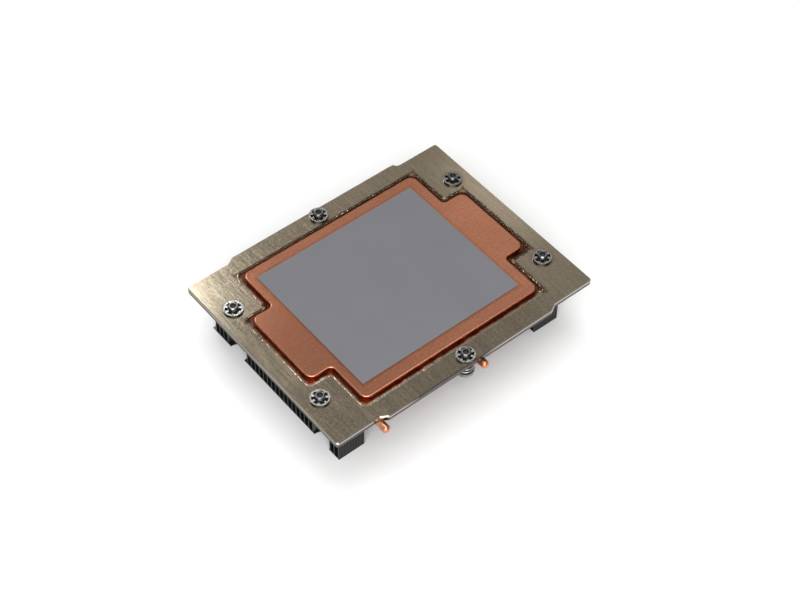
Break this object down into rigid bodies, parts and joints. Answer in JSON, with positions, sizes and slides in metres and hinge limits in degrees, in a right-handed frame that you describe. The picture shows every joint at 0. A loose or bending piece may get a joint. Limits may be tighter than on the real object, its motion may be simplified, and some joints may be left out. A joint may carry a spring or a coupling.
{
  "type": "passive server cpu heatsink",
  "caption": "Low passive heatsink for a rack server's processor: folded metal fins, a copper base with a grey thermal pad, heat pipes and spring-loaded captive screws in a metal plate.",
  "frame": {"origin": "middle of the underside of the fin stack, the face it lies on", "axes": "+X along the long side of the plate and along the fins, +Y along the short side and along the heat pipes, +Z from the fins up to the contact face"},
  "size_m": [0.118, 0.0982, 0.0278],
  "materials": {
    "plate_metal": "satin",
    "copper": "satin",
    "pipe_copper": "satin",
    "pad_grey": "matte",
    "fin_metal": "satin",
    "screw_steel": "satin",
    "clip_steel": "gloss",
    "spring_steel": "satin"
  },
  "bodies": {
    "heatsink": {"frame_plate": "plate_metal", "copper_base": "copper", "thermal_pad": "pad_grey", "heat_pipe_1": "pipe_copper", "heat_pipe_2": "pipe_copper", "heat_pipe_3": "pipe_copper", "heat_pipe_4": "pipe_copper", "fin_01": "fin_metal", "fin_02": "fin_metal", "fin_03": "fin_metal", "fin_04": "fin_metal", "fin_05": "fin_metal", "fin_06": "fin_metal", "fin_07": "fin_metal", "fin_08": "fin_metal", "fin_09": "fin_metal", "fin_10": "fin_metal", "fin_11": "fin_metal", "fin_12": "fin_metal", "fin_13": "fin_metal", "fin_14": "fin_metal", "fin_15": "fin_metal", "fin_16": "fin_metal", "fin_17": "fin_metal", "fin_18": "fin_metal", "fin_19": "fin_metal", "fin_20": "fin_metal", "fin_21": "fin_metal", "fin_22": "fin_metal", "fin_23": "fin_metal", "fin_24": "fin_metal", "fin_25": "fin_metal", "fin_26": "fin_metal", "fin_27": "fin_metal", "fin_28": "fin_metal", "fin_29": "fin_metal", "fin_30": "fin_metal", "fin_31": "fin_metal", "fin_32": "fin_metal", "fin_33": "fin_metal", "fin_34": "fin_metal", "screw_spring_1": "spring_steel", "screw_spring_2": "spring_steel", "screw_spring_3": "spring_steel", "screw_spring_4": "spring_steel", "screw_spring_5": "spring_steel", "screw_spring_6": "spring_steel"},
    "clip_1": {"retaining_clip_1": "clip_steel"},
    "screw_1": {"captive_screw_1": "screw_steel"},
    "clip_2": {"retaining_clip_2": "clip_steel"},
    "screw_2": {"captive_screw_2": "screw_steel"},
    "clip_3": {"retaining_clip_3": "clip_steel"},
    "screw_3": {"captive_screw_3": "screw_steel"},
    "clip_4": {"retaining_clip_4": "clip_steel"},
    "screw_4": {"captive_screw_4": "screw_steel"},
    "clip_5": {"retaining_clip_5": "clip_steel"},
    "screw_5": {"captive_screw_5": "screw_steel"},
    "clip_6": {"retaining_clip_6": "clip_steel"},
    "screw_6": {"captive_screw_6": "screw_steel"}
  },
  "joints": [
    {"name": "screw_lift_1", "type": "slide", "parent": "heatsink", "child": "clip_1", "axis": [0, 0, 1], "range_m": [0, 0.002], "stiffness_N_per_m": 2900, "springref_m": -0.0026, "deforming": ["screw_spring_1"]},
    {"name": "screw_turn_1", "type": "hinge", "parent": "clip_1", "child": "screw_1", "pos_m": [0.0517, 0.0258, 0.0255], "axis": [0, 0, 1], "continuous": true},
    {"name": "screw_lift_2", "type": "slide", "parent": "heatsink", "child": "clip_2", "axis": [0, 0, 1], "range_m": [0, 0.002], "stiffness_N_per_m": 2900, "springref_m": -0.0026, "deforming": ["screw_spring_2"]},
    {"name": "screw_turn_2", "type": "hinge", "parent": "clip_2", "child": "screw_2", "pos_m": [0, 0.043, 0.0255], "axis": [0, 0, 1], "continuous": true},
    {"name": "screw_lift_3", "type": "slide", "parent": "heatsink", "child": "clip_3", "axis": [0, 0, 1], "range_m": [0, 0.002], "stiffness_N_per_m": 2900, "springref_m": -0.0026, "deforming": ["screw_spring_3"]},
    {"name": "screw_turn_3", "type": "hinge", "parent": "clip_3", "child": "screw_3", "pos_m": [-0.0517, 0.0258, 0.0255], "axis": [0, 0, 1], "continuous": true},
    {"name": "screw_lift_4", "type": "slide", "parent": "heatsink", "child": "clip_4", "axis": [0, 0, 1], "range_m": [0, 0.002], "stiffness_N_per_m": 2900, "springref_m": -0.0026, "deforming": ["screw_spring_4"]},
    {"name": "screw_turn_4", "type": "hinge", "parent": "clip_4", "child": "screw_4", "pos_m": [-0.0517, -0.0258, 0.0255], "axis": [0, 0, 1], "continuous": true},
    {"name": "screw_lift_5", "type": "slide", "parent": "heatsink", "child": "clip_5", "axis": [0, 0, 1], "range_m": [0, 0.002], "stiffness_N_per_m": 2900, "springref_m": -0.0026, "deforming": ["screw_spring_5"]},
    {"name": "screw_turn_5", "type": "hinge", "parent": "clip_5", "child": "screw_5", "pos_m": [0, -0.043, 0.0255], "axis": [0, 0, 1], "continuous": true},
    {"name": "screw_lift_6", "type": "slide", "parent": "heatsink", "child": "clip_6", "axis": [0, 0, 1], "range_m": [0, 0.002], "stiffness_N_per_m": 2900, "springref_m": -0.0026, "deforming": ["screw_spring_6"]},
    {"name": "screw_turn_6", "type": "hinge", "parent": "clip_6", "child": "screw_6", "pos_m": [0.0517, -0.0258, 0.0255], "axis": [0, 0, 1], "continuous": true}
  ]
}
